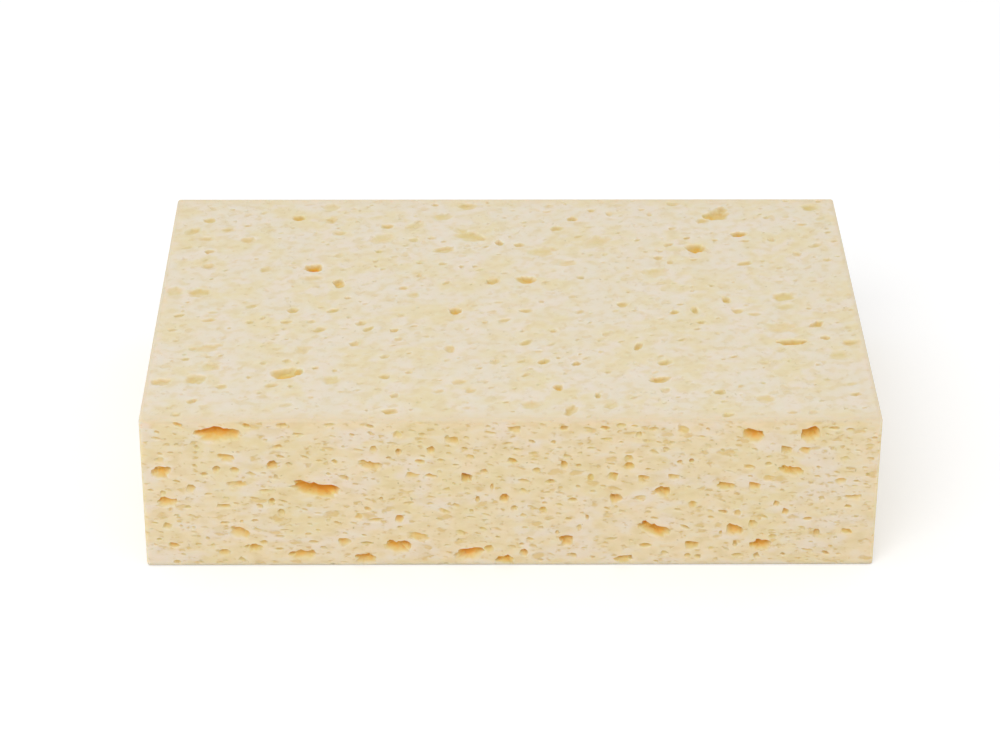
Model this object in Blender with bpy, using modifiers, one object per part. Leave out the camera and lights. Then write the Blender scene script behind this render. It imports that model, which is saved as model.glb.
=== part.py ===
"""Viscose sponge: one block of open-pored cellulose foam.

The block lies flat, with its length along X and its underside on z = 0. Each pore is a bubble in the
foam that a face of the block cuts open, so the hollow behind the face is a little wider than its mouth.
Lengths are in metres.
"""

import math
import random

import bmesh
import bpy
from mathutils import Matrix, Vector, noise

# Block
LENGTH = 0.150  # along X
WIDTH = 0.100  # along Y
THICKNESS = 0.035  # along Z
EDGE_RADIUS = 0.0006  # the slight rounding of a cut foam edge
EDGE_STEPS = 2

# Pores: the maps below count places and mouth sizes in steps of this length
PORE_STEP = 0.001
SINK = 0.35  # how far a bubble's middle lies under the face, as a share of its depth radius
LUMPS = 0.28  # how far a bubble's wall bulges inwards, as a share of its radius
LUMP_PITCH = 1.3
PORE_WALL = 0.0004  # the thinnest web of foam between two pores, or between a pore and an edge
FINE_MOUTH = 9.0  # pores with a larger mouth, in square steps, get the finer bubble
COARSE_BUBBLE = 1
FINE_BUBBLE = 2

# How deep a pore is for each unit of its mouth's height
DEEP = 1.15
HALF = 0.8
SHALLOW = 0.5

# Scattered pores between the mapped ones
PORE_SPACING = 0.0158  # mean distance between scattered pores
SCATTER_HEIGHT = (0.8, 2.1)  # mouth height, in steps
SCATTER_STRETCH = (1.1, 2.3)  # mouth width over its height
SCATTER_TRIES = 40
SEED = 31
REST_SPOT = 0.005  # radius at the middle of the underside that no pore opens into

FOAM_COLOUR = (0.765, 0.645, 0.44, 1.0)
FOAM_ROUGHNESS = 0.9

# Mapped pores: place right and up from the face's middle, mouth width and height, depth, turn in degrees
FRONT_PORES = [
    (-59.3, 14.7, 8.3, 2.3, DEEP, -3),
    (-70.8, 5.8, 3.3, 2.0, HALF, 0),
    (-70.0, -1.2, 3.6, 1.6, HALF, 0),
    (-70.3, -7.2, 2.0, 1.0, HALF, 0),
    (-59.8, 6.2, 1.6, 1.4, HALF, 0),
    (-56.0, 6.0, 1.9, 1.2, HALF, 0),
    (-57.8, 9.0, 3.3, 1.2, HALF, -10),
    (-48.5, 7.3, 2.2, 1.7, DEEP, 0),
    (-55.6, 2.6, 4.0, 1.0, HALF, 0),
    (-39.8, 1.8, 8.6, 2.5, DEEP, -12),
    (-28.5, 7.3, 4.3, 1.3, DEEP, -8),
    (-22.7, 10.1, 1.3, 1.7, HALF, 0),
    (-46.8, -4.1, 1.6, 1.3, HALF, 0),
    (-55.6, -8.7, 3.8, 1.5, HALF, -25),
    (-52.7, -12.6, 3.0, 1.1, DEEP, 0),
    (-58.8, -13.7, 2.2, 1.1, HALF, 0),
    (-42.7, -14.0, 4.8, 1.4, DEEP, 0),
    (-34.1, -11.1, 2.6, 1.3, HALF, 0),
    (-30.0, -15.2, 4.0, 1.6, DEEP, 0),
    (-22.8, -5.7, 1.9, 1.2, DEEP, 0),
    (-23.1, -12.0, 4.6, 2.2, DEEP, -10),
    (-20.0, 4.8, 2.8, 1.0, HALF, 0),
    (-16.2, 10.8, 1.6, 1.5, HALF, 0),
    (-12.0, 13.2, 3.0, 1.2, HALF, -8),
    (-9.0, 4.3, 2.4, 1.7, DEEP, 0),
    (-6.7, -1.2, 1.1, 1.6, HALF, 0),
    (-1.4, -0.7, 2.0, 1.8, HALF, 0),
    (-8.3, -14.0, 5.6, 1.8, DEEP, 10),
    (-1.0, -15.6, 3.4, 1.4, DEEP, 0),
    (2.8, -14.0, 1.8, 1.5, HALF, -30),
    (6.7, -3.7, 1.8, 1.1, HALF, 0),
    (11.5, -10.7, 2.9, 1.5, DEEP, -8),
    (10.7, 7.1, 1.7, 1.4, HALF, 0),
    (5.2, 5.8, 1.7, 1.1, HALF, 0),
    (21.5, -0.7, 2.5, 1.7, DEEP, 0),
    (20.8, 4.6, 2.2, 1.5, HALF, -35),
    (23.2, -15.6, 3.3, 1.3, DEEP, 0),
    (24.2, 6.9, 2.2, 1.4, HALF, 0),
    (31.0, 1.0, 3.0, 1.7, DEEP, -8),
    (33.2, 4.3, 2.6, 1.0, HALF, 0),
    (29.4, -8.0, 6.0, 1.8, DEEP, -18),
    (44.0, 2.2, 3.6, 1.4, HALF, 0),
    (49.7, 2.2, 2.6, 1.4, HALF, 0),
    (49.0, 14.3, 3.8, 2.2, DEEP, -10),
    (60.6, 14.6, 3.4, 2.6, DEEP, 15),
    (55.8, 10.8, 2.4, 1.3, DEEP, 0),
    (59.6, 10.6, 2.4, 1.1, HALF, -10),
    (56.8, 6.0, 4.0, 1.4, DEEP, -8),
    (67.3, 3.3, 2.2, 0.9, HALF, 0),
    (70.0, -0.7, 3.3, 0.9, HALF, 0),
    (46.0, -8.2, 3.6, 1.7, DEEP, -12),
    (51.5, -11.9, 4.0, 1.5, DEEP, 0),
    (54.4, -2.2, 1.4, 1.1, HALF, 0),
    (63.0, -9.3, 1.7, 1.4, HALF, 0),
    (37.4, -12.0, 3.0, 1.5, SHALLOW, 0),
]
TOP_PORES = [
    (-46.8, 40.2, 2.8, 2.2, DEEP, 0),
    (-39.6, 38.8, 2.6, 2.4, HALF, 0),
    (-66.9, 38.9, 2.8, 2.6, HALF, 0),
    (-70.2, 33.6, 4.0, 2.4, HALF, 30),
    (-62.5, 34.2, 3.0, 1.8, HALF, 0),
    (-57.5, 29.2, 3.2, 3.0, HALF, 0),
    (-27.7, 29.6, 5.0, 4.6, SHALLOW, 0),
    (-20.8, 29.3, 2.2, 2.0, HALF, 0),
    (-20.4, 36.3, 5.0, 3.0, SHALLOW, 30),
    (-14.2, 40.7, 4.5, 3.4, SHALLOW, 0),
    (-8.8, 46.0, 4.0, 3.0, HALF, 0),
    (-8.3, 31.0, 6.4, 4.6, HALF, -35),
    (-13.9, 24.6, 4.4, 2.8, HALF, 0),
    (-1.7, 27.9, 1.8, 2.6, DEEP, 0),
    (7.9, 23.3, 5.0, 4.6, SHALLOW, 0),
    (20.4, 28.3, 6.0, 4.6, SHALLOW, 20),
    (13.3, 18.0, 4.2, 2.6, SHALLOW, 0),
    (-42.5, 15.8, 3.6, 3.2, DEEP, 0),
    (-36.7, 8.6, 2.4, 3.6, DEEP, 0),
    (-65.8, 16.5, 2.6, 2.0, HALF, 0),
    (4.0, 10.2, 4.0, 3.0, DEEP, -20),
    (16.0, 11.2, 1.8, 1.8, HALF, 0),
    (41.9, 25.0, 4.0, 3.6, DEEP, 0),
    (47.9, 41.8, 5.4, 4.6, DEEP, 20),
    (52.0, 32.0, 3.4, 2.2, DEEP, 0),
    (69.2, 45.2, 3.4, 3.0, HALF, 0),
    (66.7, 36.8, 2.4, 1.4, HALF, 0),
    (59.6, 2.3, 4.6, 3.8, HALF, 0),
    (47.0, 0.7, 1.8, 3.2, DEEP, 0),
    (40.0, -3.8, 1.8, 2.6, DEEP, 0),
    (-11.3, -4.0, 2.4, 2.6, DEEP, 0),
    (-12.5, -20.8, 2.2, 3.0, HALF, 0),
    (-66.7, 4.3, 4.5, 3.6, HALF, 0),
    (27.1, -19.8, 3.2, 1.8, DEEP, 60),
    (57.5, -11.7, 5.6, 4.6, SHALLOW, 0),
    (59.6, -17.9, 5.0, 2.4, DEEP, 0),
    (-46.3, -31.0, 5.6, 4.0, DEEP, 0),
    (-64.6, -33.6, 4.4, 3.6, HALF, 0),
    (-36.7, -34.0, 3.6, 3.6, SHALLOW, 0),
    (17.8, -40.4, 1.4, 2.0, DEEP, 0),
    (12.3, -46.3, 4.4, 2.2, HALF, 70),
    (52.0, -42.0, 4.0, 3.4, SHALLOW, 0),
]


class Face:
    """A flat face of the block: its middle, its right and up directions, and its size along them."""

    def __init__(self, name, middle, right, up, size, grain, pore_map):
        self.name = name
        self.middle = Vector(middle)
        self.right = Vector(right)
        self.up = Vector(up)
        self.inward = self.up.cross(self.right)
        self.size = size
        self.grain = grain
        self.pore_map = pore_map


class Pore:
    """A bubble cut open by a face: its middle, its three axes and the radius along each."""

    def __init__(self, face, right, up, width, height, depth, turn):
        angle = math.radians(turn)
        along = face.right * math.cos(angle) + face.up * math.sin(angle)
        across = face.up * math.cos(angle) - face.right * math.sin(angle)
        rim_share = math.sqrt(1 - SINK * SINK)
        inner = depth * min(width, height) / (1 + SINK)
        self.face = face
        self.place = (right, up)
        self.mouth = math.pi / 4 * width * height
        self.middle = face.middle + face.right * right + face.up * up + face.inward * inner * SINK
        self.axes = (along, across, face.inward)
        self.radii = (width / 2 / rim_share, height / 2 / rim_share, inner)

    def reach(self, direction):
        """How far the bubble reaches from its middle along a unit direction."""
        return math.sqrt(sum((axis.dot(direction) * r) ** 2 for axis, r in zip(self.axes, self.radii)))


def block_faces():
    middle_height = THICKNESS / 2
    long_side = (LENGTH, THICKNESS)
    short_side = (WIDTH, THICKNESS)
    flat_side = (LENGTH, WIDTH)
    return [
        Face("front", (0, -WIDTH / 2, middle_height), (1, 0, 0), (0, 0, 1), long_side, -12, FRONT_PORES),
        Face("top", (0, 0, THICKNESS), (1, 0, 0), (0, 1, 0), flat_side, 25, TOP_PORES),
        Face("back", (0, WIDTH / 2, middle_height), (-1, 0, 0), (0, 0, 1), long_side, 12, []),
        Face("right", (LENGTH / 2, 0, middle_height), (0, 1, 0), (0, 0, 1), short_side, 0, []),
        Face("left", (-LENGTH / 2, 0, middle_height), (0, -1, 0), (0, 0, 1), short_side, 0, []),
        Face("bottom", (0, 0, 0), (1, 0, 0), (0, -1, 0), flat_side, -25, []),
    ]


def within_face(pore):
    """True if the pore's mouth keeps its distance from the face's edges."""
    keep = EDGE_RADIUS + PORE_WALL
    sides = zip(pore.place, pore.face.size, (pore.face.right, pore.face.up))
    return all(abs(place) + pore.reach(direction) + keep <= size / 2 for place, size, direction in sides)


def clear_of(pore, other):
    """True if a web of foam is left between two bubbles."""
    apart = other.middle - pore.middle
    distance = apart.length
    if distance < PORE_WALL:
        return False
    direction = apart / distance
    return distance >= pore.reach(direction) + other.reach(direction) + PORE_WALL


def off_rest_spot(pore):
    return pore.middle.length >= REST_SPOT + max(pore.radii)


def fits(pore, pores):
    return within_face(pore) and off_rest_spot(pore) and all(clear_of(pore, other) for other in pores)


def mapped_pore(face, entry):
    right, up, width, height, depth, turn = entry
    step = PORE_STEP
    return Pore(face, right * step, up * step, width * step, height * step, depth, turn)


def scattered_pore(face, chance):
    height = chance.uniform(*SCATTER_HEIGHT) * PORE_STEP
    width = height * chance.uniform(*SCATTER_STRETCH)
    right = chance.uniform(-0.5, 0.5) * face.size[0]
    up = chance.uniform(-0.5, 0.5) * face.size[1]
    depth = chance.choice((SHALLOW, HALF, HALF, DEEP))
    turn = face.grain * chance.uniform(0, 2)
    return Pore(face, right, up, width, height, depth, turn)


def place_pores(faces):
    """The mapped pores of every face first, then scattered ones in the foam left between them."""
    chance = random.Random(SEED)
    pores = []
    for face in faces:
        for entry in face.pore_map:
            pore = mapped_pore(face, entry)
            if fits(pore, pores):
                pores.append(pore)
    for face in faces:
        wanted = round(face.size[0] * face.size[1] / PORE_SPACING ** 2)
        for _ in range(wanted):
            for _ in range(SCATTER_TRIES):
                pore = scattered_pore(face, chance)
                if fits(pore, pores):
                    pores.append(pore)
                    break
    return pores


def add_bubble(mesh, pore):
    """Adds the pore's bubble to a mesh, with lumps in its wall that only ever make it smaller."""
    fine = pore.mouth > FINE_MOUTH * PORE_STEP ** 2
    steps = FINE_BUBBLE if fine else COARSE_BUBBLE
    made = bmesh.ops.create_icosphere(mesh, subdivisions=steps, radius=1)
    turn = Matrix(pore.axes).transposed()
    offset = Vector(pore.place) / PORE_STEP
    for vertex in made["verts"]:
        lump = noise.noise(vertex.co * LUMP_PITCH + offset.to_3d()) + 0.5
        size = 1 - LUMPS * min(max(lump, 0), 1)
        vertex.co = pore.middle + turn @ (vertex.co * Vector(pore.radii)) * size


def make_cutter(face, pores, collection):
    mesh = bmesh.new()
    for pore in pores:
        if pore.face is face:
            add_bubble(mesh, pore)
    bmesh.ops.recalc_face_normals(mesh, faces=mesh.faces)
    for polygon in mesh.faces:
        polygon.smooth = True
    data = bpy.data.meshes.new(face.name + "_pores")
    mesh.to_mesh(data)
    mesh.free()
    cutter = bpy.data.objects.new(data.name, data)
    cutter.hide_render = True
    cutter.display_type = "WIRE"
    collection.objects.link(cutter)


def foam_material():
    material = bpy.data.materials.new("viscose_foam")
    material.use_nodes = True
    shader = material.node_tree.nodes["Principled BSDF"]
    shader.inputs["Base Color"].default_value = FOAM_COLOUR
    shader.inputs["Roughness"].default_value = FOAM_ROUGHNESS
    shader.inputs["Metallic"].default_value = 0
    material.diffuse_color = FOAM_COLOUR
    return material


def make_block(collection, cutters):
    mesh = bmesh.new()
    size = Matrix.Diagonal((LENGTH, WIDTH, THICKNESS, 1))
    lift = Matrix.Translation((0, 0, THICKNESS / 2))
    bmesh.ops.create_cube(mesh, size=1, matrix=lift @ size)
    data = bpy.data.meshes.new("sponge")
    mesh.to_mesh(data)
    mesh.free()
    block = bpy.data.objects.new("sponge", data)
    collection.objects.link(block)
    data.materials.append(foam_material())
    rounding = block.modifiers.new("cut edges", "BEVEL")
    rounding.width = EDGE_RADIUS
    rounding.segments = EDGE_STEPS
    opening = block.modifiers.new("open pores", "BOOLEAN")
    opening.operation = "DIFFERENCE"
    opening.solver = "EXACT"
    opening.operand_type = "COLLECTION"
    opening.collection = cutters


def new_collection(name):
    collection = bpy.data.collections.new(name)
    bpy.context.scene.collection.children.link(collection)
    return collection


def main():
    for thing in list(bpy.data.objects):
        bpy.data.objects.remove(thing)
    cutters = new_collection("pore_cutters")
    faces = block_faces()
    pores = place_pores(faces)
    for face in faces:
        make_cutter(face, pores, cutters)
    make_block(new_collection("viscose_sponge"), cutters)


main()
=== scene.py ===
import math
import random
import bpy
import bmesh
from mathutils import Matrix, Vector, noise


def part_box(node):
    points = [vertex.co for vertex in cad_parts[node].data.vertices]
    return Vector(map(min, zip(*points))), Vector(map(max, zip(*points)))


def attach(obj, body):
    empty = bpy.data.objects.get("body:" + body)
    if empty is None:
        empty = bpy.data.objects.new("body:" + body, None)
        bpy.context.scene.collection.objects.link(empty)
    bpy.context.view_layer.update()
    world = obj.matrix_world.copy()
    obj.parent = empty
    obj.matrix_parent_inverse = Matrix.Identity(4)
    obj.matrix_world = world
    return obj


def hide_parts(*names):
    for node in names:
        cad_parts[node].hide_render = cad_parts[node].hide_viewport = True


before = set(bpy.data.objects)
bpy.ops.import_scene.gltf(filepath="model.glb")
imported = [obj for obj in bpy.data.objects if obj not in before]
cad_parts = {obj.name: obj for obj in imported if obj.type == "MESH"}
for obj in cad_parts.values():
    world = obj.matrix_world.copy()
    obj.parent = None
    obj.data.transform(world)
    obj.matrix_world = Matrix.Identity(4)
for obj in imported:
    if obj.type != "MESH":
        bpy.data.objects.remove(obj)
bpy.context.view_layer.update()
mm = 0.001

# the block as it was packed
blockLow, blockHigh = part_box("sponge")
blockSize = blockHigh - blockLow
blockMiddle = (blockLow + blockHigh) / 2


def deselectAll():
    bpy.ops.object.select_all(action="DESELECT")


def makeActive(thing):
    deselectAll()
    thing.select_set(True)
    bpy.context.view_layer.objects.active = thing


def applyModifier(thing, modifier):
    makeActive(thing)
    bpy.ops.object.modifier_apply(modifier=modifier.name)


# the plain block, before its pores are opened
blockShape = dict(
    name="sponge_foam",
    edgeRadius=0.6 * mm,
    edgeSegments=3,
    sharpAngle=60,           # edges that turn by more than this are rounded
    cuts=15,                 # cuts across each face, so that no face carries too many mouths
)


def makeBlock():
    deselectAll()
    bpy.ops.mesh.primitive_cube_add(size=1, location=blockMiddle)
    block = bpy.context.object
    block.name = blockShape["name"]
    block.scale = blockSize
    bpy.ops.object.transform_apply(location=True, rotation=True, scale=True)
    bpy.ops.object.mode_set(mode="EDIT")
    bpy.ops.mesh.select_all(action="SELECT")
    bpy.ops.mesh.subdivide(number_cuts=blockShape["cuts"])
    bpy.ops.mesh.select_all(action="DESELECT")
    bpy.ops.mesh.select_mode(type="EDGE")
    bpy.ops.mesh.edges_select_sharp(sharpness=math.radians(blockShape["sharpAngle"]))
    bpy.ops.mesh.bevel(
        offset=blockShape["edgeRadius"],
        segments=blockShape["edgeSegments"],
        affect="EDGES",
    )
    bpy.ops.object.mode_set(mode="OBJECT")
    return block


# pores that are read one by one: right, up, mouth width, mouth height, depth, turn
# places count from the middle of the face, in millimetres and degrees, and a depth is a share of the
# mouth's smaller side
deepest = 1.3
deep = 0.9
half = 0.7
faint = 0.47
frontPores = [
    (-59.3, 14.7, 8.3, 2.3, deep, -3),
    (-70.8, 5.8, 3.3, 2.0, half, 0),
    (-70.0, -1.2, 3.6, 1.6, half, 0),
    (-70.3, -7.2, 2.0, 1.0, half, 0),
    (-59.8, 6.2, 1.6, 1.4, half, 0),
    (-56.0, 6.0, 1.9, 1.2, half, 0),
    (-57.8, 9.0, 3.3, 1.2, half, -10),
    (-48.5, 7.3, 2.2, 1.7, deep, 0),
    (-55.6, 2.6, 4.0, 1.0, half, 0),
    (-39.8, 1.8, 8.6, 2.5, deepest, -12),
    (-28.5, 7.3, 4.3, 1.3, deep, -8),
    (-22.7, 10.1, 1.3, 1.7, half, 0),
    (-46.8, -4.1, 1.6, 1.3, half, 0),
    (-55.6, -8.7, 3.8, 1.5, half, -25),
    (-52.7, -12.6, 3.0, 1.1, deep, 0),
    (-58.8, -13.7, 2.2, 1.1, half, 0),
    (-42.7, -14.0, 4.8, 1.4, deep, 0),
    (-34.1, -11.1, 2.6, 1.3, half, 0),
    (-30.0, -15.2, 4.0, 1.6, deep, 0),
    (-22.8, -5.7, 1.9, 1.2, deep, 0),
    (-23.1, -12.0, 4.6, 2.2, deep, -10),
    (-20.0, 4.8, 2.8, 1.0, half, 0),
    (-16.2, 10.8, 1.6, 1.5, half, 0),
    (-12.0, 13.2, 3.0, 1.2, half, -8),
    (-9.0, 4.3, 2.4, 1.7, deepest, 0),
    (-6.7, -1.2, 1.1, 1.6, half, 0),
    (-1.4, -0.7, 2.0, 1.8, half, 0),
    (-8.3, -14.0, 5.6, 1.8, deep, 10),
    (-1.0, -15.6, 3.4, 1.4, deep, 0),
    (2.8, -14.0, 1.8, 1.5, half, -30),
    (6.7, -3.7, 1.8, 1.1, half, 0),
    (11.5, -10.7, 2.9, 1.5, deepest, -8),
    (10.7, 7.1, 1.7, 1.4, half, 0),
    (5.2, 5.8, 1.7, 1.1, half, 0),
    (21.5, -0.7, 2.5, 1.7, deep, 0),
    (20.8, 4.6, 2.2, 1.5, half, -35),
    (23.2, -15.6, 3.3, 1.3, deep, 0),
    (24.2, 6.9, 2.2, 1.4, half, 0),
    (31.0, 1.0, 3.0, 1.7, deep, -8),
    (33.2, 4.3, 2.6, 1.0, half, 0),
    (29.4, -8.0, 6.0, 1.8, deepest, -18),
    (44.0, 2.2, 3.6, 1.4, half, 0),
    (49.7, 2.2, 2.6, 1.4, half, 0),
    (49.0, 14.3, 3.8, 2.2, deep, -10),
    (60.6, 14.6, 3.4, 2.6, deep, 15),
    (55.8, 10.8, 2.4, 1.3, deep, 0),
    (59.6, 10.6, 2.4, 1.1, half, -10),
    (56.8, 6.0, 4.0, 1.4, deep, -8),
    (67.3, 3.3, 2.2, 0.9, half, 0),
    (70.0, -0.7, 3.3, 0.9, half, 0),
    (46.0, -8.2, 3.6, 1.7, deep, -12),
    (51.5, -11.9, 4.0, 1.5, deepest, 0),
    (54.4, -2.2, 1.4, 1.1, half, 0),
    (63.0, -9.3, 1.7, 1.4, half, 0),
    (37.4, -12.0, 3.0, 1.5, half, 0),
    (-27.9, 10.9, 1.8, 1.0, half, 0),
    (-48.8, -1.5, 1.4, 1.4, half, 0),
    (-50.7, -11.4, 1.6, 0.9, half, 0),
    (-31.0, -4.9, 2.0, 1.0, faint, 0),
    (-26.4, -1.0, 0.9, 0.8, deep, 0),
    (-65.2, 1.7, 2.0, 1.2, half, 0),
    (-70.8, 0.6, 1.3, 0.9, half, 0),
    (-71.2, 8.5, 2.3, 0.8, faint, 0),
    (-63.5, 11.3, 1.1, 0.9, half, 0),
    (-47.7, 4.2, 1.2, 0.9, half, 0),
    (-17.9, 14.2, 1.5, 0.8, half, 0),
    (-3.8, 1.8, 0.9, 1.8, half, 0),
    (0.7, -3.2, 1.4, 1.0, half, 0),
    (-4.3, -13.0, 2.2, 1.1, half, 0),
    (9.6, -9.2, 1.1, 0.9, half, 0),
    (-18.9, -9.7, 5.0, 1.2, faint, -10),
    (23.8, 8.7, 2.2, 0.9, half, -12),
    (25.8, 14.2, 1.6, 0.9, half, 0),
    (27.0, 3.9, 2.4, 1.2, half, 0),
    (0.7, 15.6, 2.8, 1.2, half, 0),
    (15.7, -5.5, 1.0, 0.9, deep, 0),
    (-23.0, 14.5, 2.4, 1.0, faint, 0),
    (19.4, 13.0, 2.5, 0.7, half, 0),
    (26.5, -0.7, 3.0, 0.9, faint, 0),
    (16.3, 4.2, 1.8, 1.4, faint, 0),
    (14.2, -7.8, 1.4, 1.0, faint, 0),
    (36.7, 8.0, 1.1, 0.9, deepest, 0),
    (34.3, 7.7, 1.2, 0.9, half, 0),
    (37.2, -2.2, 2.0, 1.4, faint, 0),
    (49.6, -7.0, 2.1, 1.1, half, 0),
    (54.0, -10.2, 1.6, 0.8, half, 0),
    (46.3, -12.0, 1.1, 1.6, half, 0),
    (50.8, -14.8, 1.4, 1.2, half, 0),
    (31.7, -14.2, 1.6, 0.7, half, 0),
    (56.3, -4.1, 1.4, 1.4, half, 0),
    (52.7, 4.1, 3.0, 1.0, faint, 0),
    (63.6, -1.0, 1.4, 0.7, half, 0),
    (68.6, 15.2, 1.7, 0.7, half, 0),
    (43.2, -9.4, 0.9, 0.9, half, 0),
    (46.5, -4.3, 1.8, 1.2, faint, 0),
    (34.8, 15.6, 3.0, 1.1, faint, -25),
    (36.5, -14.8, 1.4, 0.8, half, 0),
    (72.8, 11.6, 2.2, 0.6, faint, 0),
]
topPores = [
    (-46.8, 40.2, 2.8, 2.2, deep, 0),
    (-39.6, 45.4, 4.0, 3.6, faint, 0),
    (-39.6, 38.8, 2.6, 2.4, half, 0),
    (-66.9, 38.9, 2.8, 2.6, half, 0),
    (-70.2, 33.6, 4.0, 2.4, half, 30),
    (-62.5, 34.2, 3.0, 1.8, half, 0),
    (-57.5, 29.2, 3.2, 3.0, half, 0),
    (-27.7, 29.6, 5.0, 4.6, faint, 0),
    (-20.8, 29.3, 2.2, 2.0, half, 0),
    (-16.7, 30.2, 1.8, 1.4, half, 0),
    (-20.4, 36.3, 5.0, 3.0, faint, 30),
    (-14.2, 40.7, 4.5, 3.4, faint, 0),
    (-8.8, 46.0, 4.0, 3.0, half, 0),
    (-8.3, 31.0, 6.4, 4.6, half, -35),
    (-13.9, 24.6, 4.4, 2.8, half, 0),
    (-1.7, 27.9, 1.8, 2.6, deep, 0),
    (7.9, 23.3, 5.0, 4.6, faint, 0),
    (20.4, 28.3, 6.0, 4.6, faint, 20),
    (13.3, 18.0, 4.2, 2.6, faint, 0),
    (-42.5, 15.8, 3.6, 3.2, deepest, 0),
    (-36.7, 8.6, 2.4, 3.6, deep, 0),
    (-42.5, 10.8, 4.5, 3.0, faint, 0),
    (-65.8, 16.5, 2.6, 2.0, half, 0),
    (-28.7, 16.7, 1.2, 1.4, half, 0),
    (4.0, 10.2, 4.0, 3.0, deep, -20),
    (16.0, 11.2, 1.8, 1.8, half, 0),
    (41.9, 25.0, 4.0, 3.6, deepest, 0),
    (47.9, 41.8, 5.4, 4.6, deep, 20),
    (44.2, 38.6, 3.2, 2.2, half, 0),
    (52.0, 32.0, 3.4, 2.2, deep, 0),
    (59.2, 29.2, 1.8, 1.8, half, 0),
    (69.2, 45.2, 3.4, 3.0, half, 0),
    (66.7, 36.8, 2.4, 1.4, half, 0),
    (64.2, 22.2, 2.0, 1.8, half, 0),
    (59.6, 2.3, 4.6, 3.8, half, 0),
    (59.6, -2.5, 4.2, 3.0, faint, 0),
    (47.0, 0.7, 1.8, 3.2, deep, 0),
    (40.0, -3.8, 1.8, 2.6, deep, 0),
    (49.2, -4.2, 2.6, 2.0, half, 0),
    (52.5, -5.7, 2.8, 1.6, half, 0),
    (-11.3, -4.0, 2.4, 2.6, deep, 0),
    (-12.5, -20.8, 2.2, 3.0, half, 0),
    (-20.4, 3.1, 2.8, 2.8, faint, 0),
    (-66.7, 4.3, 4.5, 3.6, half, 0),
    (-72.0, 5.0, 3.6, 4.6, faint, 0),
    (27.1, -19.8, 3.2, 1.8, deep, 60),
    (57.5, -11.7, 5.6, 4.6, faint, 0),
    (59.6, -17.9, 5.0, 2.4, deep, 0),
    (72.0, -18.3, 4.0, 2.4, half, 0),
    (-46.3, -31.0, 5.6, 4.0, deep, 0),
    (-62.0, -28.3, 4.0, 3.6, faint, 0),
    (-64.6, -33.6, 4.4, 3.6, half, 0),
    (-71.7, -34.6, 4.0, 2.6, half, 0),
    (-36.7, -34.0, 3.6, 3.6, faint, 0),
    (9.8, -37.0, 2.0, 2.4, deep, 0),
    (17.8, -40.4, 1.4, 2.0, deep, 0),
    (12.3, -46.3, 4.4, 2.2, half, 70),
    (4.2, -44.2, 4.0, 3.6, faint, 0),
    (52.0, -42.0, 4.0, 3.4, faint, 0),
    (-63.3, -20.4, 5.5, 3.0, faint, 0),
    (-43.3, -21.3, 3.0, 3.6, faint, 0),
    (68.8, -23.8, 4.0, 3.8, faint, 0),
    (35.8, 18.3, 1.8, 1.6, half, 0),
    (32.5, 13.3, 5.0, 4.6, faint, 0),
    (32.5, 41.7, 1.4, 1.4, half, 0),
    (23.3, 42.0, 1.6, 2.0, half, 0),
    (-67.5, -48.0, 2.0, 1.5, half, 0),
]

# the bubbles a pore is opened with: the widest mouth one is for, its segments round and its rings down,
# and how far and how often its outline wavers
bubbleSizes = [
    dict(widest=1.25 * mm, segments=6, rings=4, lumps=0.25, pitch=1.4),
    dict(widest=2.4 * mm, segments=8, rings=6, lumps=0.4, pitch=1.4),
    dict(widest=4.2 * mm, segments=14, rings=8, lumps=0.5, pitch=1.8),
    dict(widest=12 * mm, segments=26, rings=12, lumps=0.5, pitch=2.4),
]
bubbleShape = dict(
    variants=10,
    variantStep=5.3,         # how far apart the variants lie in the noise
    radius=0.8,
    squareness=dict(pit=3.2, dish=2.3),    # 2 for a round mouth, more for one with a flatter lip
    lumpShare=dict(pit=1.0, dish=0.6),
    floorPitch=1.7,
    floorLumps=0.5,
    mouthBand=0.01,          # what lies this near the middle of the ball becomes the rim of the mouth
    lip=0.04,                # how far that rim stands outside the face, as a share of the depth
    lid=0.4,
    dishSlope=1.8,
    dishTilt=0.5,            # how much deeper a dish is towards its upper lip
    pitRim=(0.5, 1.3),       # how steeply a pit falls from its upper and from its lower lip
    pitSlope=1.4,
    pitPeak=0.55,
)

# how the pores read above are opened; those in the flat faces are shallower, by a share for each depth
poreShape = dict(
    seed=11,
    climb=0.2,               # how far a pit in an upright face climbs as it goes in
    skirt=0.9,               # how far its lower lip slopes out below the mouth, as a share of its height
    widestSkirt=0.45,        # and at most this share of its width
    longestSkirt=1.3,
    sink=0.1,                # the mouths lie this share of their height below the places read
    sideSpread=1.08,
    flatDepths={deepest: 0.62, deep: 0.45, half: 0.25, faint: 0.16},
    flatWidest=2.2,          # wider pores in the flat faces are no deeper than one of this width
    flatSpread=1.25,
    sideTurn=4,
    flatTurn=(0, 20),
    pitLobes=3.2 * mm,       # wider mouths get lobes at their ends
    dishLobes=6.0 * mm,
    gap=0.05 * mm,
    margin=0.2 * mm,
    crossing=0.7 * mm,       # lower pores may cross an edge
    tries=12,
)

# the pores scattered between them: heights in millimetres, which thin out by their slope towards the
# largest, and widths and depths as shares of the height
sideScatter = dict(
    forms=("pit", "dish"),
    smallest=0.6,
    slope=2.3,
    stretch=(1.4, 2.8),
    depth=(0.32, 0.65),
)
flatScatter = dict(
    forms=("dish",),
    smallest=0.8,
    slope=1.8,
    stretch=(1.1, 1.9),
    depth=(0.14, 0.32),
)
scatters = dict(
    front=dict(sideScatter, count=340, largest=1.4, turn=(-24, 6)),
    top=dict(flatScatter, count=420, largest=2.8, turn=(0, 45)),
    back=dict(sideScatter, count=330, largest=2.4, turn=(-6, 24)),
    right=dict(sideScatter, count=215, largest=2.4, turn=(-16, 16)),
    left=dict(sideScatter, count=215, largest=2.4, turn=(-16, 16)),
    bottom=dict(flatScatter, count=350, largest=3.0, turn=(-45, 0)),
)


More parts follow.
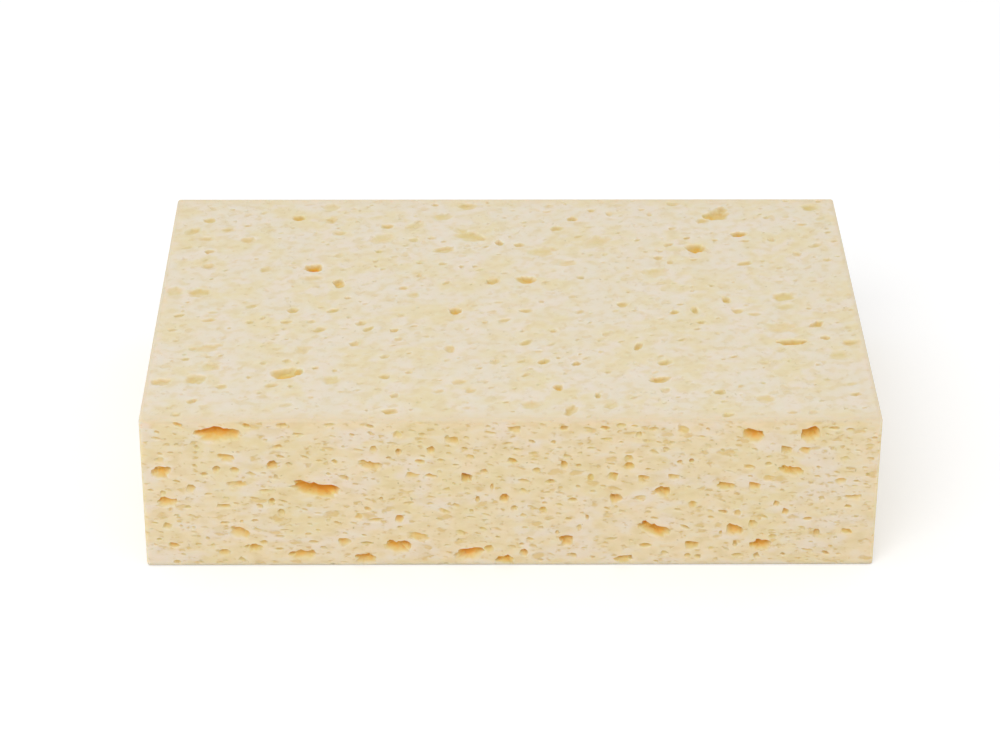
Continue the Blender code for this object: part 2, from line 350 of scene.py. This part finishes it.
def faceOf(name, middle, right, up, width, height):
    right = Vector(right)
    up = Vector(up)
    return dict(
        name=name,
        middle=Vector(middle),
        right=right,
        up=up,
        inward=up.cross(right),
        upright=up.z > 0,
        width=width,
        height=height,
    )


def blockFaces():
    cx, cy, cz = blockMiddle
    sx, sy, sz = blockSize
    return [
        faceOf("front", (cx, blockLow.y, cz), (1, 0, 0), (0, 0, 1), sx, sz),
        faceOf("top", (cx, cy, blockHigh.z), (1, 0, 0), (0, 1, 0), sx, sy),
        faceOf("back", (cx, blockHigh.y, cz), (-1, 0, 0), (0, 0, 1), sx, sz),
        faceOf("right", (blockHigh.x, cy, cz), (0, 1, 0), (0, 0, 1), sy, sz),
        faceOf("left", (blockLow.x, cy, cz), (0, -1, 0), (0, 0, 1), sy, sz),
        faceOf("bottom", (cx, cy, blockLow.z), (1, 0, 0), (0, -1, 0), sx, sy),
    ]


def makePore(face, form, right, up, width, height, depth, turn):
    angle = math.radians(turn)
    along = face["right"] * math.cos(angle) + face["up"] * math.sin(angle)
    across = face["up"] * math.cos(angle) - face["right"] * math.sin(angle)
    climbs = face["upright"] and form == "pit"
    inward = face["inward"] + face["up"] * (poreShape["climb"] if climbs else 0)
    spread = 2 * bubbleShape["radius"]
    return dict(
        face=face,
        form=form,
        place=face["middle"] + face["right"] * right + face["up"] * up,
        spot=(right, up),
        axes=(along, across, inward),
        radii=(width / spread, height / spread, depth),
        width=width,
        height=height,
        turn=turn,
    )


def poreReach(pore, direction):
    return math.sqrt(sum((axis.dot(direction) * r) ** 2 for axis, r in zip(pore["axes"], pore["radii"])))


def insideFace(pore):
    face = pore["face"]
    right, up = pore["spot"]
    clearRight = face["width"] / 2 - abs(right) - poreReach(pore, face["right"])
    clearUp = face["height"] / 2 - abs(up) - poreReach(pore, face["up"])
    margin = poreShape["margin"] if pore["height"] > poreShape["crossing"] else -pore["height"] / 2
    return min(clearRight, clearUp) > margin


# pores are looked up by the cube of foam they lie in
cellSize = 6 * mm
samePlace = 1e-6


def cellOf(point):
    return tuple(int(math.floor(value / cellSize)) for value in point)


def nearbyPores(cells, point):
    cx, cy, cz = cellOf(point)
    for ix in (cx - 1, cx, cx + 1):
        for iy in (cy - 1, cy, cy + 1):
            for iz in (cz - 1, cz, cz + 1):
                yield from cells.get((ix, iy, iz), ())


def poresApart(one, other, gap):
    between = other["place"] - one["place"]
    distance = between.length
    if distance < samePlace:
        return False
    direction = between / distance
    return distance > poreReach(one, direction) + poreReach(other, direction) + gap


def keepPore(pore, cells):
    cells.setdefault(cellOf(pore["place"]), []).append(pore)


def readPore(face, entry, chance):
    right, up, width, height, depth, turn = entry
    if face["upright"]:
        form = "dish" if depth == faint else "pit"
        inner = depth * min(width, height)
        skirt = min(
            poreShape["skirt"] * height,
            poreShape["widestSkirt"] * width,
            poreShape["longestSkirt"],
        )
        up = up - skirt / 2 - poreShape["sink"] * height
        width = width * poreShape["sideSpread"]
        height = height + skirt
        turn = turn + chance.uniform(-1, 1) * poreShape["sideTurn"]
    else:
        form = "dish"
        inner = poreShape["flatDepths"][depth] * min(width, height, poreShape["flatWidest"])
        width = width * poreShape["flatSpread"]
        height = height * poreShape["flatSpread"]
        turn = turn + chance.uniform(*poreShape["flatTurn"])
    return makePore(face, form, right * mm, up * mm, width * mm, height * mm, inner * mm, turn)


# a wide pore is several bubbles that have run together: their places and sizes as shares of its own
lobeShape = dict(
    middle=(-0.3, 0.3),
    forth=(0.26, 0.4),
    aside=(-0.05, 0.25),
    width=(0.3, 0.5),
    height=(0.4, 0.65),
    depth=(0.6, 0.95),
    turn=(-25, 25),
)


def lobesOf(pore, chance):
    right, up = pore["spot"]
    angle = math.radians(pore["turn"])
    lobes = []
    for end in (-1, 1, chance.choice(lobeShape["middle"])):
        forth = end * chance.uniform(*lobeShape["forth"]) * pore["width"]
        aside = chance.uniform(*lobeShape["aside"]) * pore["height"]
        lobes.append(makePore(
            pore["face"],
            pore["form"],
            right + forth * math.cos(angle) - aside * math.sin(angle),
            up + forth * math.sin(angle) + aside * math.cos(angle),
            pore["width"] * chance.uniform(*lobeShape["width"]),
            pore["height"] * chance.uniform(*lobeShape["height"]),
            pore["radii"][2] * chance.uniform(*lobeShape["depth"]),
            pore["turn"] + chance.uniform(*lobeShape["turn"]),
        ))
    return lobes


def scatteredPore(face, scatter, chance):
    size = scatter["smallest"] * chance.paretovariate(scatter["slope"])
    if size > scatter["largest"]:
        size = chance.uniform(scatter["smallest"], scatter["largest"])
    return makePore(
        face,
        chance.choice(scatter["forms"]),
        chance.uniform(-0.5, 0.5) * face["width"],
        chance.uniform(-0.5, 0.5) * face["height"],
        size * chance.uniform(*scatter["stretch"]) * mm,
        size * mm,
        size * chance.uniform(*scatter["depth"]) * mm,
        chance.uniform(*scatter["turn"]),
    )


def placePores(faces):
    chance = random.Random(poreShape["seed"])
    cells = {}
    pores = []
    for face, entries in zip(faces, (frontPores, topPores)):
        for entry in entries:
            pore = readPore(face, entry, chance)
            keepPore(pore, cells)
            pores.append(pore)
    for face in faces:
        scatter = scatters[face["name"]]
        for number in range(scatter["count"]):
            for attempt in range(poreShape["tries"]):
                pore = scatteredPore(face, scatter, chance)
                near = nearbyPores(cells, pore["place"])
                if insideFace(pore) and all(poresApart(pore, other, poreShape["gap"]) for other in near):
                    keepPore(pore, cells)
                    pores.append(pore)
                    break
    for pore in list(pores):
        if pore["width"] > poreShape[pore["form"] + "Lobes"]:
            pores += lobesOf(pore, chance)
    return pores


def sortIntoRounds(pores):
    # pores that touch go into different rounds, so that no cutter overlaps itself
    rounds = []
    for pore in sorted(pores, key=lambda one: -one["width"]):
        for cells, members in rounds:
            if all(poresApart(pore, other, 0) for other in nearbyPores(cells, pore["place"])):
                break
        else:
            cells, members = {}, []
            rounds.append((cells, members))
        keepPore(pore, cells)
        members.append(pore)
    return [members for cells, members in rounds]


def depthAt(form, x, y):
    # how deep a form is over a unit mouth: a dish fades out all round, a pit mostly to its lower lip
    r = min(math.hypot(x, y), 1)
    if form == "dish":
        tilt = 1 + bubbleShape["dishTilt"] * y
        return tilt * (1 + math.cos(math.pi * r ** bubbleShape["dishSlope"])) / 2
    height = (1 + y) / 2
    upper, lower = bubbleShape["pitRim"]
    rim = (1 - r * r) ** (upper * height + lower * (1 - height))
    return rim * height ** bubbleShape["pitSlope"] / bubbleShape["pitPeak"]


def outlineAt(form, direction):
    power = bubbleShape["squareness"][form]
    spread = abs(direction.x) ** power + abs(direction.y) ** power
    return bubbleShape["radius"] * spread ** (-1 / power) if spread else 1


def makeBubble(size, form, variant):
    # a ball whose outline and floor are made uneven, with its rim just outside z = 0
    deselectAll()
    bpy.ops.mesh.primitive_uv_sphere_add(segments=size["segments"], ring_count=size["rings"])
    bubble = bpy.context.object
    bubble.rotation_euler.z = math.pi / size["segments"]
    bpy.ops.object.transform_apply(location=False, rotation=True, scale=False)
    spot = Vector((0, 0, variant * bubbleShape["variantStep"]))
    lumps = size["lumps"] * bubbleShape["lumpShare"][form]
    band = bubbleShape["mouthBand"]
    for vertex in bubble.data.vertices:
        x, y, z = vertex.co
        flat = Vector((x, y, 0))
        around = flat.normalized()
        swell = min(outlineAt(form, around) + lumps * noise.noise(around * size["pitch"] + spot), 1)
        uneven = 1 + bubbleShape["floorLumps"] * noise.noise(flat * bubbleShape["floorPitch"] + spot)
        vertex.co.x = x * swell
        vertex.co.y = y * swell
        if z > band:
            vertex.co.z = min(depthAt(form, x, y) * uneven, 1)
        elif z > -band:
            vertex.co.z = -bubbleShape["lip"]
        else:
            vertex.co.z = bubbleShape["lid"] * z - bubbleShape["lip"]
    return bubble


def makeBubbles():
    # each bubble is modelled once and copied for every pore that takes its form
    return {
        (number, form): [makeBubble(size, form, variant) for variant in range(bubbleShape["variants"])]
        for number, size in enumerate(bubbleSizes)
        for form in ("pit", "dish")
    }


def bubbleFor(pore, bubbles, chance):
    for number, size in enumerate(bubbleSizes):
        if pore["width"] < size["widest"]:
            break
    return chance.choice(bubbles[number, pore["form"]])


def cutterFor(pores, bubbles, chance, number):
    mesh = bmesh.new()
    for pore in pores:
        copy = bubbleFor(pore, bubbles, chance).data.copy()
        toPore = Matrix(pore["axes"]).transposed().to_4x4()
        flip = chance.choice((-1, 1))
        size = Matrix.Diagonal((pore["radii"][0] * flip, pore["radii"][1], pore["radii"][2], 1))
        copy.transform(Matrix.Translation(pore["place"]) @ toPore @ size)
        mesh.from_mesh(copy)
        bpy.data.meshes.remove(copy)
    bmesh.ops.triangulate(mesh, faces=mesh.faces)
    bmesh.ops.recalc_face_normals(mesh, faces=mesh.faces)
    data = bpy.data.meshes.new("pore_cutter" + str(number))
    mesh.to_mesh(data)
    mesh.free()
    cutter = bpy.data.objects.new(data.name, data)
    bpy.context.scene.collection.objects.link(cutter)
    return cutter


def openPores(block):
    chance = random.Random(poreShape["seed"] + 1)
    bubbles = makeBubbles()
    pores = placePores(blockFaces())
    rounds = sortIntoRounds(pores)
    print("pores:", len(pores), "in", len(rounds), "rounds")
    for number, members in enumerate(rounds):
        cutter = cutterFor(members, bubbles, chance, number)
        opening = block.modifiers.new("open pores", "BOOLEAN")
        opening.operation = "DIFFERENCE"
        opening.solver = "MANIFOLD"
        opening.object = cutter
        applyModifier(block, opening)
        bpy.data.objects.remove(cutter)
    for members in bubbles.values():
        for bubble in members:
            bpy.data.objects.remove(bubble)
    block.data.calc_loop_triangles()
    print("foam triangles:", len(block.data.loop_triangles))


foamShading = dict(
    smoothAngle=60,
    straight=0.99999,        # a normal this near an axis is a cut face's
)


def shadeFoam(block):
    # the pores are smooth inside, and the cut faces stay flat up to their lips
    makeActive(block)
    bpy.ops.object.shade_smooth_by_angle(angle=math.radians(foamShading["smoothAngle"]))
    for polygon in block.data.polygons:
        if max(abs(part) for part in polygon.normal) > foamShading["straight"]:
            polygon.use_smooth = False


# the foam's look: colours are linear, and those of the pores are painted shade, set by millimetres below
# the cut face
foamLook = dict(
    sideColour=(0.81, 0.685, 0.472, 1),
    flatColour=(0.785, 0.697, 0.545, 1),
    strawColour=(0.783, 0.667, 0.405, 1),
    patchColour=(0.80, 0.702, 0.572, 1),
    blotchColour=(0.735, 0.60, 0.34, 1),
    paleColour=(0.805, 0.735, 0.61, 1),
    # painted shade in the flecks, the small shallow hollows of the skin
    fleckShadeColour=(0.70, 0.505, 0.19, 1),
    sideFlecks=(0.62, 0.7, 0.4),           # how strongly each size of fleck shows
    flatFlecks=(0.32, 0.17, 0.09),
    dotColour=(0.52, 0.43, 0.24, 1),
    dotWeight=0.7,
    rimColour=(0.775, 0.652, 0.445, 1),
    rimWeight=0.75,
    rimWidth=4.0,
    # painted shade on the rounded edges
    edgeShadeColour=(0.71, 0.61, 0.445, 1),
    # painted shade in the pores of the upright faces, darker and more orange the deeper they lie
    poreShadeColours=[
        (0.0, (0.81, 0.685, 0.465, 1)),
        (0.15, (0.80, 0.668, 0.395, 1)),
        (0.35, (0.80, 0.632, 0.31, 1)),
        (0.7, (0.825, 0.567, 0.205, 1)),
        (1.2, (0.85, 0.487, 0.108, 1)),
        (2.0, (0.855, 0.39, 0.055, 1)),
    ],
    # painted shade in the pores of the flat faces, darker and more orange the deeper they lie
    flatPoreShadeColours=[
        (0.0, (0.785, 0.67, 0.46, 1)),
        (0.1, (0.78, 0.645, 0.405, 1)),
        (0.25, (0.76, 0.605, 0.33, 1)),
        (0.5, (0.745, 0.565, 0.255, 1)),
        (0.9, (0.775, 0.53, 0.17, 1)),
        (1.4, (0.81, 0.46, 0.09, 1)),
        (2.0, (0.82, 0.37, 0.05, 1)),
    ],
    oliveColour=(0.92, 1.0, 0.8, 1),
    sideOlive=0.25,
    flatOlive=0.25,
    poreShadeRange=2.0,
    poreShadeStart=(0.02, 0.24),
    flatSlowness=1.5,
    edgeLoss=0.25,
    fleckRelief=0.225,
    blotchRelief=0.2,
    toothRelief=0.04,
    sideRelief=0.92,
    flatRelief=0.65,
    roughness=0.88,
    specular=0.25,
    scatterWeight=1.0,
    scatterRadius=(1.0, 0.8, 0.6),
    scatterScale=1.3 * mm,
)

# the patterns in the skin: how far each grain is stretched, and the scale of each pattern on its grain
# a range holds the two values it starts and ends at, then the two new values there
foamPattern = dict(
    sideGrain=(1.9 * mm, 1.9 * mm, 1.0 * mm),
    flatGrain=(1.5 * mm, 1.3 * mm, 1.3 * mm),
    flatGrainTurn=20,
    flecks=[
        dict(scale=0.5, sizes=(0.35, 1.0, 0.0, 0.4), softness=(-0.05, 0.2)),
        dict(scale=1.0, sizes=(0.3, 1.0, 0.0, 0.42), softness=(-0.05, 0.26)),
        dict(scale=1.8, sizes=(0.4, 1.0, 0.0, 0.45), softness=(-0.05, 0.3)),
    ],
    dots=dict(scale=0.42, sizes=(0.45, 1.0, 0.0, 0.14), softness=(0.0, 0.07)),
    drift=dict(scale=0.09, detail=2, roughness=0.55),
    patch=dict(scale=0.22, detail=2, roughness=0.5),
    blotch=dict(scale=0.6, detail=2, roughness=0.4),
    tooth=dict(scale=2.0, detail=3, roughness=0.6),
    sinking=dict(scale=0.4, detail=2, roughness=0.55),
    strawRange=(0.38, 0.66, 0.0, 0.8),
    patchRange=(0.48, 0.63, 0.0, 0.85),
    blotchRange=(0.48, 0.7, 0.0, 0.5),
    paleRange=(0.48, 0.3, 0.0, 0.4),
    sinkingRange=(0.3, 0.7, 0.7, 1.35),
    oliveRange=(0.56, 0.4, 0.0, 1.0),
)
# flecks wander off their grid, with a scale and a reach that go by the scale of the flecks
fleckWander = dict(scale=1.4, reach=1.1, detail=2)
# where a Mix node keeps its two inputs and its result, which depends on what it mixes
mixSockets = dict(RGBA=(6, 7, 2), VECTOR=(4, 5, 1))


class Nodes:
    # short ways to add the nodes of one material or of the sky

    def __init__(self, owner):
        owner.use_nodes = True
        self.tree = owner.node_tree
        self.shader = self.tree.nodes.get("Principled BSDF")

    def put(self, socket, value):
        if isinstance(value, bpy.types.NodeSocket):
            self.tree.links.new(value, socket)
        else:
            socket.default_value = value

    def add(self, kind, **settings):
        node = self.tree.nodes.new(kind)
        for name, value in settings.items():
            setattr(node, name, value)
        return node

    def maths(self, operation, one, other=0.0, clamp=False):
        node = self.add("ShaderNodeMath", operation=operation, use_clamp=clamp)
        self.put(node.inputs[0], one)
        self.put(node.inputs[1], other)
        return node.outputs[0]

    def noise(self, vector, scale, detail, roughness):
        node = self.add("ShaderNodeTexNoise")
        self.put(node.inputs["Vector"], vector)
        self.put(node.inputs["Scale"], scale)
        self.put(node.inputs["Detail"], detail)
        self.put(node.inputs["Roughness"], roughness)
        return node.outputs["Fac"]

    def range(self, value, low, high, newLow=0.0, newHigh=1.0):
        node = self.add("ShaderNodeMapRange", interpolation_type="SMOOTHSTEP")
        self.put(node.inputs["Value"], value)
        self.put(node.inputs["From Min"], low)
        self.put(node.inputs["From Max"], high)
        self.put(node.inputs["To Min"], newLow)
        self.put(node.inputs["To Max"], newHigh)
        return node.outputs["Result"]

    def mix(self, factor, one, other, kind="RGBA", blend="MIX"):
        node = self.add("ShaderNodeMix", data_type=kind, blend_type=blend)
        first, second, result = mixSockets[kind]
        self.put(node.inputs["Factor"], factor)
        self.put(node.inputs[first], one)
        self.put(node.inputs[second], other)
        return node.outputs[result]

    def ramp(self, value, stops):
        node = self.add("ShaderNodeValToRGB")
        self.put(node.inputs["Fac"], value)
        points = node.color_ramp.elements
        while len(points) < len(stops):
            points.new(0.5)
        for point, (place, colour) in zip(points, stops):
            point.position = place
            point.color = colour
        return node.outputs["Color"]

    def flecks(self, vector, scale, sizes, softness):
        # scattered blobs of uneven size: 1 in the middle of each, 0 between them
        wander = self.add("ShaderNodeTexNoise")
        self.put(wander.inputs["Vector"], vector)
        self.put(wander.inputs["Scale"], scale * fleckWander["scale"])
        self.put(wander.inputs["Detail"], fleckWander["detail"])
        shifted = self.add("ShaderNodeVectorMath", operation="MULTIPLY_ADD")
        self.put(shifted.inputs[0], wander.outputs["Color"])
        self.put(shifted.inputs[1], [fleckWander["reach"] / scale] * 3)
        self.put(shifted.inputs[2], vector)
        cells = self.add("ShaderNodeTexVoronoi")
        self.put(cells.inputs["Vector"], shifted.outputs[0])
        self.put(cells.inputs["Scale"], scale)
        lot = self.add("ShaderNodeSeparateColor")
        self.put(lot.inputs[0], cells.outputs["Color"])
        size = self.range(lot.outputs[0], *sizes)
        return self.range(self.maths("SUBTRACT", size, cells.outputs["Distance"]), *softness)

    def strongest(self, values, weights):
        most = 0.0
        for value, weight in zip(values, weights):
            most = self.maths("MAXIMUM", most, self.maths("MULTIPLY", value, weight))
        return most

    def seen(self):
        # 1 where the camera looks, straight, in a mirror or through glass
        path = self.add("ShaderNodeLightPath")
        mirrored = self.maths("MAXIMUM", path.outputs["Is Glossy Ray"], path.outputs["Is Transmission Ray"])
        return self.maths("MAXIMUM", path.outputs["Is Camera Ray"], mirrored)

    def mapping(self, vector, turn, scale):
        node = self.add("ShaderNodeMapping", vector_type="TEXTURE")
        self.put(node.inputs["Vector"], vector)
        node.inputs["Rotation"].default_value = turn
        node.inputs["Scale"].default_value = scale
        return node.outputs["Vector"]


def foamMaterial():
    material = bpy.data.materials.new("viscose_foam")
    nodes = Nodes(material)
    shader = nodes.shader
    coordinates = nodes.add("ShaderNodeTexCoord").outputs["Object"]
    split = nodes.add("ShaderNodeSeparateXYZ")
    nodes.put(split.inputs[0], coordinates)

    # how far a point lies below the nearest upright face, and below the nearest flat one, in millimetres
    fromMiddle = [
        nodes.maths("ABSOLUTE", nodes.maths("SUBTRACT", split.outputs[axis], blockMiddle[axis]))
        for axis in range(3)
    ]
    below = [
        nodes.maths("MULTIPLY", nodes.maths("SUBTRACT", blockSize[axis] / 2, fromMiddle[axis]), 1 / mm)
        for axis in range(3)
    ]
    belowSide = nodes.maths("MINIMUM", below[0], below[1])
    belowFlat = below[2]
    onSide = nodes.maths("LESS_THAN", belowSide, belowFlat)

    # the grain runs level on the upright faces and slants across the flat ones
    flatTurn = (0, 0, math.radians(foamPattern["flatGrainTurn"]))
    sideGrain = nodes.mapping(coordinates, (0, 0, 0), foamPattern["sideGrain"])
    flatGrain = nodes.mapping(coordinates, flatTurn, foamPattern["flatGrain"])
    grain = nodes.mix(onSide, flatGrain, sideGrain, kind="VECTOR")
    even = nodes.mapping(coordinates, (0, 0, 0), (mm, mm, mm))

    # flecks: small shallow pores in the skin, of three sizes, tinted with painted shade, and dots no wider
    # than a pinprick
    flecks = [nodes.flecks(grain, **pattern) for pattern in foamPattern["flecks"]]
    sideFleck = nodes.strongest(flecks, foamLook["sideFlecks"])
    flatFleck = nodes.strongest(flecks, foamLook["flatFlecks"])
    dots = nodes.flecks(even, **foamPattern["dots"])

    # tone: wide drifts, patches, small blotches and a fine tooth
    drift = nodes.noise(even, **foamPattern["drift"])
    patch = nodes.noise(grain, **foamPattern["patch"])
    blotch = nodes.noise(grain, **foamPattern["blotch"])
    tooth = nodes.noise(even, **foamPattern["tooth"])

    skin = nodes.mix(onSide, foamLook["flatColour"], foamLook["sideColour"])
    skin = nodes.mix(nodes.range(drift, *foamPattern["strawRange"]), skin, foamLook["strawColour"])
    skin = nodes.mix(nodes.range(patch, *foamPattern["patchRange"]), skin, foamLook["patchColour"])
    skin = nodes.mix(nodes.range(blotch, *foamPattern["blotchRange"]), skin, foamLook["blotchColour"])
    skin = nodes.mix(nodes.range(blotch, *foamPattern["paleRange"]), skin, foamLook["paleColour"])
    # painted shade: the flecks' hollows are tinted tan
    skin = nodes.mix(nodes.mix(onSide, flatFleck, sideFleck), skin, foamLook["fleckShadeColour"])
    skin = nodes.mix(nodes.maths("MULTIPLY", dots, foamLook["dotWeight"]), skin, foamLook["dotColour"])

    # the flat faces are warmer along the front and the back, and the rounded edges are darkened with
    # painted shade
    nearRim = nodes.range(below[1], 0.0, foamLook["rimWidth"], foamLook["rimWeight"], 0.0)
    onRim = nodes.maths("MULTIPLY", nearRim, nodes.maths("SUBTRACT", 1.0, onSide))
    skin = nodes.mix(onRim, skin, foamLook["rimColour"])
    furthest = nodes.maths("MAXIMUM", belowSide, belowFlat)
    onEdge = nodes.range(furthest, 0.0, 2 * blockShape["edgeRadius"] / mm, 1.0, 0.0)
    skin = nodes.mix(onEdge, skin, foamLook["edgeShadeColour"])

    # painted shade in the pores: they deepen from the skin's cream through straw to orange, sooner in some
    # places than in others
    slowFlat = nodes.maths("POWER", nodes.maths("MAXIMUM", belowFlat, 0.0), foamLook["flatSlowness"])
    nearest = nodes.maths("MINIMUM", belowSide, slowFlat)
    edgeLoss = nodes.maths("MULTIPLY", onEdge, foamLook["edgeLoss"])
    depth = nodes.maths("MAXIMUM", nodes.maths("SUBTRACT", nearest, edgeLoss), 0.0)
    sinking = nodes.range(nodes.noise(even, **foamPattern["sinking"]), *foamPattern["sinkingRange"])
    uneven = nodes.maths("MULTIPLY", depth, sinking)
    sideHollowShade, flatHollowShade = [
        nodes.ramp(
            nodes.maths("DIVIDE", uneven, foamLook["poreShadeRange"], clamp=True),
            [(place / foamLook["poreShadeRange"], colour) for place, colour in foamLook[stops]],
        )
        for stops in ("poreShadeColours", "flatPoreShadeColours")
    ]
    poreShadeColour = nodes.mix(onSide, flatHollowShade, sideHollowShade)
    oliveWeight = nodes.range(onSide, 0.0, 1.0, foamLook["flatOlive"], foamLook["sideOlive"])
    oliveWeight = nodes.maths("MULTIPLY", nodes.range(patch, *foamPattern["oliveRange"]), oliveWeight)
    # the painted pore shade takes an olive tint in some patches
    olive = nodes.mix(oliveWeight, poreShadeColour, foamLook["oliveColour"], blend="MULTIPLY")
    sunk = nodes.maths("SUBTRACT", nodes.maths("MINIMUM", belowSide, belowFlat), edgeLoss)
    inPoreShade = nodes.range(sunk, *foamLook["poreShadeStart"])
    colour = nodes.mix(inPoreShade, skin, olive)
    nodes.put(shader.inputs["Base Color"], colour)

    # relief of the skin: flecks, blotches and tooth, stronger on the upright faces
    height = nodes.maths("MULTIPLY", sideFleck, -foamLook["fleckRelief"])
    height = nodes.maths("ADD", height, nodes.maths("MULTIPLY", blotch, -foamLook["blotchRelief"]))
    height = nodes.maths("ADD", height, nodes.maths("MULTIPLY", tooth, foamLook["toothRelief"]))
    bump = nodes.add("ShaderNodeBump")
    nodes.put(bump.inputs["Height"], height)
    bump.inputs["Distance"].default_value = mm
    relief = nodes.range(onSide, 0.0, 1.0, foamLook["flatRelief"], foamLook["sideRelief"])
    nodes.put(bump.inputs["Strength"], relief)
    nodes.put(shader.inputs["Normal"], bump.outputs["Normal"])

    shader.inputs["Roughness"].default_value = foamLook["roughness"]
    shader.inputs["Specular IOR Level"].default_value = foamLook["specular"]
    shader.inputs["Subsurface Weight"].default_value = foamLook["scatterWeight"]
    shader.inputs["Subsurface Radius"].default_value = foamLook["scatterRadius"]
    shader.inputs["Subsurface Scale"].default_value = foamLook["scatterScale"]
    return material


# the studio: a pale floor, an even sky and one soft lamp
studio = dict(
    floorSize=6.0,
    floorColour=(0.86, 0.86, 0.86, 1),
    floorGlow=0.24,
    skyColour=(1, 1, 1, 1),
    skyStrength=0.76,        # the light it gives, and below it how bright the camera sees it
    skySeen=1.0,
    keyPlace=(-0.32, -0.82, 0.9),
    keySize=0.9,
    keyPower=5.0,
)


def makeFloor():
    deselectAll()
    bpy.ops.mesh.primitive_plane_add(size=studio["floorSize"], location=(0, 0, blockLow.z))
    floor = bpy.context.object
    floor.name = "floor"
    bpy.ops.object.transform_apply(location=True, rotation=True, scale=True)
    material = bpy.data.materials.new("floor_white")
    nodes = Nodes(material)
    tree = nodes.tree
    tree.nodes.remove(nodes.shader)
    matt = nodes.add("ShaderNodeBsdfDiffuse")
    matt.inputs["Color"].default_value = studio["floorColour"]
    glow = nodes.add("ShaderNodeEmission")
    nodes.put(glow.inputs["Strength"], nodes.maths("MULTIPLY", nodes.seen(), studio["floorGlow"]))
    both = nodes.add("ShaderNodeAddShader")
    nodes.put(both.inputs[0], matt.outputs[0])
    nodes.put(both.inputs[1], glow.outputs[0])
    nodes.put(tree.nodes["Material Output"].inputs["Surface"], both.outputs[0])
    floor.data.materials.append(material)


def makeSky():
    world = bpy.data.worlds.new("sky")
    bpy.context.scene.world = world
    nodes = Nodes(world)
    background = nodes.tree.nodes["Background"]
    background.inputs["Color"].default_value = studio["skyColour"]
    strength = nodes.range(nodes.seen(), 0.0, 1.0, studio["skyStrength"], studio["skySeen"])
    nodes.put(background.inputs["Strength"], strength)


def makeLamp(name, place, size, power, aim):
    light = bpy.data.lights.new(name, "AREA")
    light.shape = "DISK"
    light.size = size
    light.energy = power
    lamp = bpy.data.objects.new(name, light)
    lamp.location = place
    lamp.rotation_euler = (Vector(aim) - Vector(place)).to_track_quat("-Z", "Y").to_euler()
    bpy.context.scene.collection.objects.link(lamp)


# the camera stands a little above the front of the block, as in the photograph
cameraSet = dict(
    place=(-0.00835, -0.59457, 0.35423),
    turn=(60.435, -0.214, -0.519),
    lens=112.92,
    sensor=36.0,
    nearest=0.01,
)


def makeCamera():
    data = bpy.data.cameras.new("camera")
    data.lens = cameraSet["lens"]
    data.sensor_width = cameraSet["sensor"]
    data.clip_start = cameraSet["nearest"]
    camera = bpy.data.objects.new("camera", data)
    camera.location = cameraSet["place"]
    camera.rotation_euler = [math.radians(angle) for angle in cameraSet["turn"]]
    bpy.context.scene.collection.objects.link(camera)
    bpy.context.scene.camera = camera


print("camera and studio")
makeCamera()
makeFloor()
makeSky()
makeLamp("key", studio["keyPlace"], studio["keySize"], studio["keyPower"], blockMiddle)

print("foam block")
foam = makeBlock()
openPores(foam)
shadeFoam(foam)
foam.data.materials.clear()
foam.data.materials.append(foamMaterial())
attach(foam, "root")
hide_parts("sponge")

bpy.context.scene.view_settings.view_transform = "Standard"

print("scene ready")
